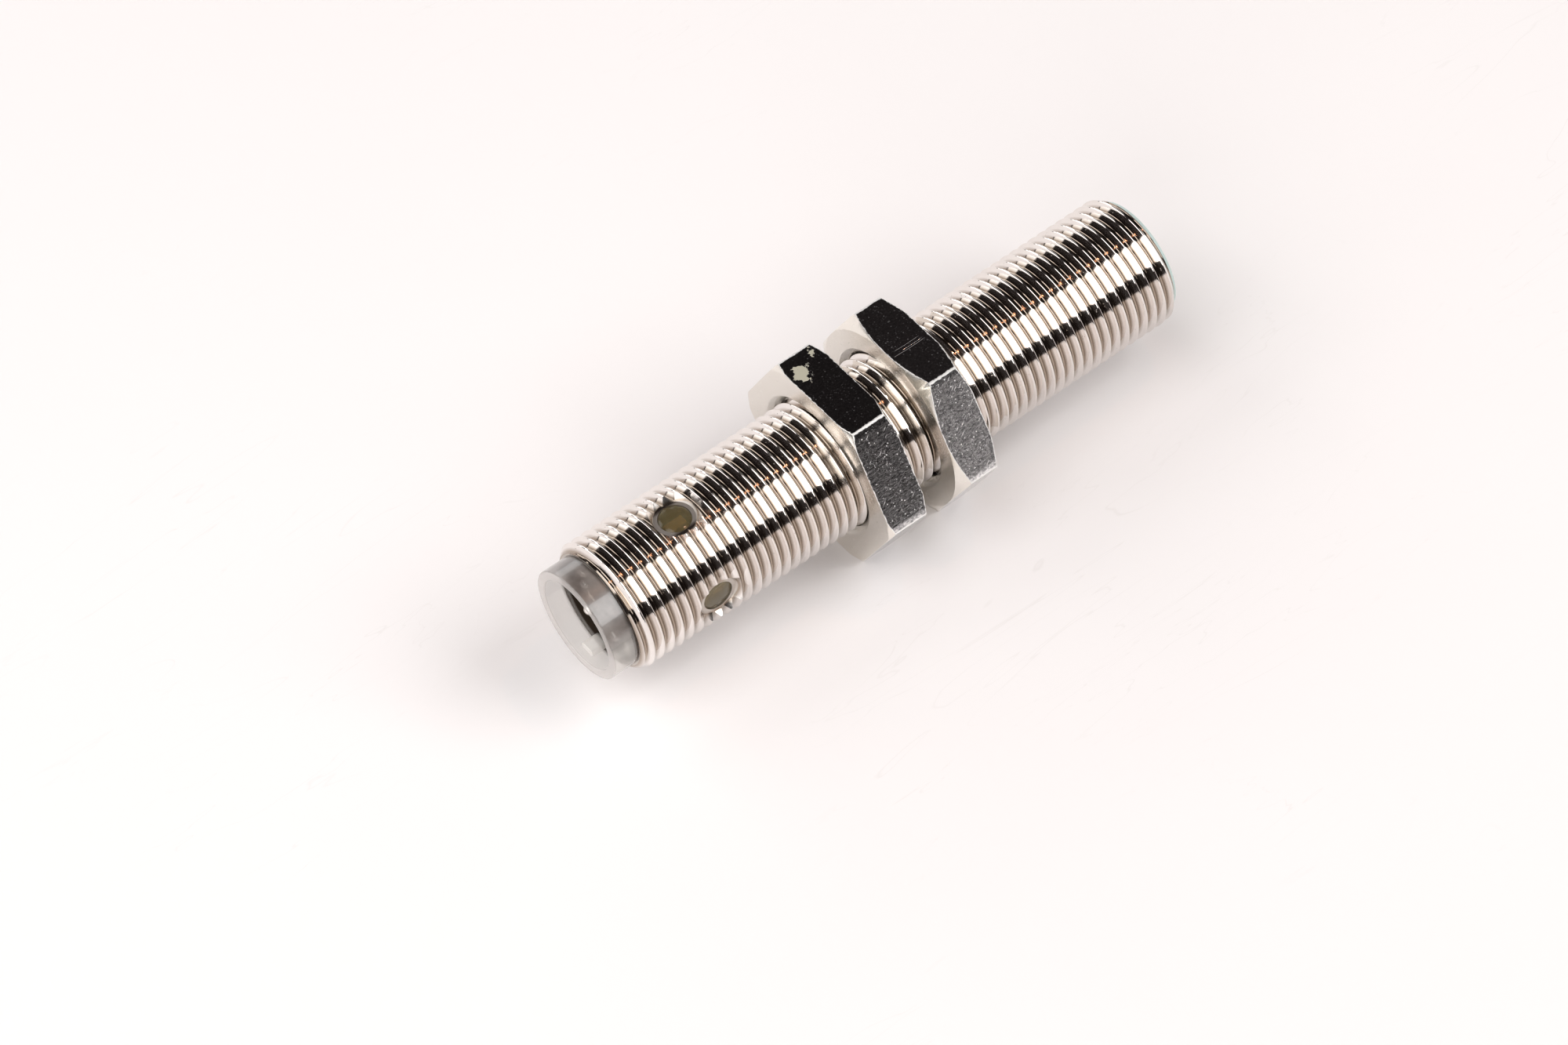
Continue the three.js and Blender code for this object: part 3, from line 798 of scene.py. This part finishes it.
def clear_plastic():
    """Clear plastic, drawn partly see-through by its alpha.

    The collar's upper outside is soft-coated and painted dark brown, a painted dark reflection;
    its lower outside, rim and key rib are a thin veil, the rim greyed with painted shade; and it
    is painted dark, as shade, and solid where the metal barrel closes round it.
    """
    s = Shader("clear_insert", IOR=1.49, Transmission_Weight=0.2, Coat_Roughness=0.34,
               Coat_IOR=2.1)
    x, _, z = s.axes()
    cloud = s.noise(s.position, 0.5, detail=3.0)
    flow = s.noise(s.scaled(0.3, 1.2, 1.2), detail=3.0)
    outside = s.span(s.radius(), *COLLAR_SKIN_RADII)
    # upper: the collar's upper outside, painted dark brown as a dark reflection, with a strong
    # coat.
    upper = s.times(outside, s.span(z, AXIS_Z_MM + 0.9, AXIS_Z_MM + 2.3))
    # Painted shade: the socket is drawn dark brown and solid where the metal barrel closes round
    # it.
    painted_barrel_shade = s.span(x, RIM_X_MM + 2.0, RIM_X_MM + 2.3)
    # rim: the end face and rounded edges of the collar, greyed below as painted shade.
    rim = s.span(x, RIM_X_MM + 0.14, RIM_X_MM + 0.04)
    rib = s.times(s.span(s.radius(), *KEY_TOP_RADII),
                  s.span(z, AXIS_Z_MM - 2.6, AXIS_Z_MM - 2.9))

    clear = s.mix(cloud, rgb(0.98, 0.92, 0.86), rgb(1.0, 0.96, 0.91))
    # Painted shade: the rim's end face and rounded edges are drawn grey.
    clear = s.mix(rim, clear, rgb(0.66, 0.61, 0.58))
    # Painted dark reflection on the collar's upper outside, with a satin coat.
    satin_painted_reflection = s.mix(s.span(cloud, 0.35, 0.65), rgb(0.15, 0.12, 0.105), rgb(0.30, 0.26, 0.235))
    colour = s.mix(upper, clear, satin_painted_reflection)
    # Painted shade: dark brown inside the barrel.
    s.link("Base Color", s.mix(painted_barrel_shade, colour, rgb(0.045, 0.03, 0.02)))
    s.link("Coat Weight", s.add(s.times(upper, 0.85), 0.15))
    solid = s.most(painted_barrel_shade, s.times(upper, 0.9), s.times(outside, 0.42),
                   s.times(s.most(rim, rib), 0.6))
    s.link("Alpha", s.span(solid, 0, 1, 0.10, 1.0))
    s.link("Roughness", s.span(flow, 0.3, 0.7, 0.05, 0.10))
    s.link("Normal", s.bump(flow, 0.06, 0.03))
    return s.material


def lens_resin():
    """Amber-brown cast resin, cloudy and a little uneven."""
    s = Shader("window_resin", IOR=1.5, Transmission_Weight=0.8)
    cloud = s.noise(s.position, 1.1, detail=3.0, roughness=0.6)
    s.link("Base Color", s.mix(cloud, rgb(0.30, 0.20, 0.07), rgb(0.52, 0.45, 0.27)))
    s.link("Roughness", s.span(cloud, 0.3, 0.7, 0.06, 0.2))
    s.link("Normal", s.bump(cloud, 0.15, 0.06))
    return s.material


def moulded(name, colour, other_colour, roughness, grain):
    """Moulded or cast plastic, resin or ceramic with a fine grain and a little variation."""
    s = Shader(name)
    cloud = s.noise(s.position, 0.6, detail=4.0, roughness=0.6)
    fine = s.noise(s.position, grain, detail=3.0, roughness=0.6)
    s.link("Base Color", s.mix(cloud, rgb(*colour), rgb(*other_colour)))
    s.link("Roughness", s.span(fine, 0.3, 0.7, *roughness))
    s.link("Normal", s.bump(fine, 0.25, 0.02))
    return s.material


def plated(name, colour, other_colour, roughness, stretch):
    """A drawn or turned metal with fine lines."""
    s = Shader(name, Metallic=1.0)
    lines = s.noise(s.scaled(*stretch), detail=3.0, roughness=0.6)
    cloud = s.noise(s.position, 1.5, detail=3.0)
    s.link("Base Color", s.mix(cloud, rgb(*colour), rgb(*other_colour)))
    s.link("Roughness", s.span(lines, 0.3, 0.7, *roughness))
    s.link("Normal", s.bump(lines, 0.25, 0.01))
    return s.material


def paper_floor():
    """Pale matt paper with a few faint hairlines."""
    s = Shader("paper", Roughness=0.62, Specular_IOR_Level=0.25)
    broad = s.noise(s.position, 0.02, detail=3.0, roughness=0.6)
    fine = s.noise(s.position, 1.3, detail=4.0, roughness=0.6)
    lines = s.noise(s.scaled(0.02, 0.16, 0.1), detail=3.0, distortion=1.5)
    hairlines = s.span(s.absolute(s.less(lines, 0.5)), 0.004, 0.0)
    hairlines = s.times(hairlines, s.span(broad, 0.5, 0.62))
    colour = s.mix(broad, rgb(0.93, 0.885, 0.875), rgb(0.945, 0.905, 0.895))
    s.link("Base Color", s.mix(s.times(hairlines, 0.12), colour, rgb(0.55, 0.5, 0.45)))
    s.link("Normal", s.bump(fine, 0.08, 0.05))
    return s.material


# For each slot: two colours, the lowest and highest roughness, and the grain's scale.
MOULDED = {
    "teal_cap": ((0.56, 0.70, 0.67), (0.63, 0.75, 0.72), (0.35, 0.5), 6.0),
    "circuit_board": ((0.05, 0.22, 0.12), (0.07, 0.30, 0.17), (0.35, 0.5), 5.0),
    "component_black": ((0.018, 0.018, 0.02), (0.03, 0.03, 0.032), (0.45, 0.6), 8.0),
    "capacitor_ceramic": ((0.35, 0.24, 0.13), (0.43, 0.31, 0.18), (0.5, 0.65), 8.0),
    "led_body": ((0.80, 0.55, 0.06), (0.88, 0.66, 0.12), (0.15, 0.3), 8.0),
    "potting_resin": ((0.055, 0.045, 0.035), (0.09, 0.075, 0.06), (0.4, 0.6), 8.0),
    "ferrite": ((0.045, 0.042, 0.04), (0.075, 0.07, 0.066), (0.6, 0.8), 12.0),
    "bobbin_plastic": ((0.78, 0.75, 0.68), (0.84, 0.81, 0.75), (0.45, 0.6), 8.0),
    "carrier_plastic": ((0.02, 0.02, 0.022), (0.035, 0.035, 0.038), (0.45, 0.6), 8.0),
}
# For each slot: two colours, the lowest and highest roughness, and the lines' scale on each axis.
PLATED = {
    "contact_metal": ((0.86, 0.82, 0.76), (0.92, 0.89, 0.84), (0.10, 0.18), (0.5, 6, 6)),
    "tinned_wire": ((0.66, 0.66, 0.65), (0.76, 0.76, 0.75), (0.28, 0.42), (0.5, 6, 6)),
    "copper_wire": ((0.62, 0.30, 0.15), (0.74, 0.40, 0.22), (0.28, 0.4), (9, 0.5, 0.5)),
}
# One nickel for both nuts: the rear nut's lower tone is painted shade on its flats.
FRONT_NUT_MATERIAL = nickel_nut("nickel_front_nut", NUTS["front_nut"], 0.64, 0.10)
REAR_NUT_MATERIAL = nickel_nut("nickel_rear_nut", NUTS["rear_nut"], 0.46, 0.04)
MATERIALS = {
    "nickel_barrel": nickel_thread(),
    "nickel_nut": FRONT_NUT_MATERIAL,
    "clear_insert": clear_plastic(),
    "window_resin": lens_resin(),
    **{name: moulded(name, *facts) for name, facts in MOULDED.items()},
    **{name: plated(name, *facts) for name, facts in PLATED.items()},
}


# The object ---------------------------------------------------------------------------------


def use(piece, slot, body, node, material=None):
    """Puts a piece in place of a CAD node, which it hides, on its body, with the slot's material
    or the one given.
    """
    piece.data.materials.clear()
    piece.data.materials.append(material or MATERIALS[slot])
    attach(piece, body)
    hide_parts(node)


use(make_barrel(), "nickel_barrel", "sensor_body", "housing_barrel")
use(make_insert(), "clear_insert", "sensor_body", "connector_insert")
use(make_cap(), "teal_cap", "sensor_body", "sensing_face_cap")
for number, angle in enumerate(PIN_ANGLES, 1):
    use(make_pin(number, angle), "contact_metal", "sensor_body", f"contact_pin_{number}")
for number, angle in enumerate(WINDOW_ANGLES, 1):
    use(make_lens(number, angle), "window_resin", "sensor_body", f"led_window_{number}")
for nut, material in (("rear_nut", REAR_NUT_MATERIAL), ("front_nut", FRONT_NUT_MATERIAL)):
    use(make_nut(nut, NUTS[nut]), "nickel_nut", nut, nut, material)

for subpart in frame["record"]["subparts"]:
    node = nodes[subpart["node"]]
    node.data.materials.clear()
    node.data.materials.append(MATERIALS[subpart["material_slot"]])


# Stage: floor, lights, camera ---------------------------------------------------------------

# For each light: where it is seen from the object, distance, width and height in metres,
# radiance, colour.
WHITE = (1, 1, 1)
LIGHTS = {
    "key": ((0.50, -0.54, 0.69), 0.70, 0.38, 0.56, 4.3, WHITE),
    "overhead": ((-0.38, -0.02, 0.92), 0.80, 0.50, 0.60, 2.1, WHITE),
    "left": ((-0.80, 0.15, 0.55), 0.80, 0.55, 0.60, 2.1, WHITE),
    "left_back": ((-0.45, 0.72, 0.55), 0.80, 0.60, 0.50, 1.8, WHITE),
    "left_front": ((-0.75, -0.55, 0.40), 0.80, 0.50, 0.50, 2.8, WHITE),
    "back": ((0.20, 0.95, 0.22), 0.80, 0.90, 0.30, 1.7, WHITE),
    "sparkle": ((0.35, -0.03, 0.93), 0.60, 0.024, 0.024, 70.0, (1.0, 0.56, 0.36)),
}
SURROUNDINGS = rgb(0.024, 0.020, 0.020)


def add_floor():
    half = FLOOR_HALF_METRES
    mesh = bpy.data.meshes.new("floor")
    corners = [(-half, -half, 0), (half, -half, 0), (half, half, 0), (-half, half, 0)]
    mesh.from_pydata(corners, [], [(0, 1, 2, 3)])
    floor = bpy.data.objects.new("floor", mesh)
    floor.location.z = -FLOOR_DROP_METRES
    bpy.context.scene.collection.objects.link(floor)
    mesh.materials.append(paper_floor())


def turned_to(across, up, back):
    """The rotation of a lamp or camera from the directions of its own x, y and z."""
    return Matrix((across, up, back)).transposed().to_4x4()


def softbox(name, direction, distance, width, height, radiance, colour):
    """A rectangular light that faces the object, its width running along the barrel."""
    light = bpy.data.lights.new(name, "AREA")
    light.shape = "RECTANGLE"
    light.size = width
    light.size_y = height
    light.energy = radiance * math.pi * width * height
    light.color = colour
    lamp = bpy.data.objects.new(name, light)
    back = Vector(direction).normalized()
    across = Vector((1, 0, 0)) - back * back.x
    across.normalize()
    place = Vector((0, 0, AXIS_Z)) + back * distance
    lamp.matrix_world = Matrix.Translation(place) @ turned_to(across, back.cross(across), back)
    lamp.visible_camera = False
    bpy.context.scene.collection.objects.link(lamp)


def add_lights():
    for name, facts in LIGHTS.items():
        softbox(name, *facts)
    world = bpy.data.worlds.new("studio")
    world.use_nodes = True
    world.node_tree.nodes["Background"].inputs["Color"].default_value = SURROUNDINGS
    bpy.context.scene.world = world


def add_camera():
    """The photograph's camera, from a fit to the nuts, the rims, the windows and the thread."""
    azimuth = math.radians(CAMERA_AZIMUTH)
    elevation = math.radians(CAMERA_ELEVATION)
    roll = math.radians(CAMERA_ROLL)
    right = Vector((math.cos(azimuth), math.sin(azimuth), 0))
    flat = math.cos(elevation)
    back = Vector((math.sin(azimuth) * flat, -math.cos(azimuth) * flat, math.sin(elevation)))
    up = back.cross(right)
    rolled_right = right * math.cos(roll) + up * math.sin(roll)
    rolled_up = up * math.cos(roll) - right * math.sin(roll)
    target = Vector((CAMERA_TARGET[0] * MM, CAMERA_TARGET[1] * MM, AXIS_Z))
    place = target + back * CAMERA_DISTANCE * MM
    data = bpy.data.cameras.new("camera")
    data.lens = CAMERA_LENS
    data.sensor_width = CAMERA_SENSOR
    data.clip_start = 0.01
    camera = bpy.data.objects.new("camera", data)
    camera.matrix_world = Matrix.Translation(place) @ turned_to(rolled_right, rolled_up, back)
    bpy.context.scene.collection.objects.link(camera)
    bpy.context.scene.camera = camera


add_floor()
add_lights()
add_camera()
bpy.context.scene.view_settings.view_transform = "Standard"
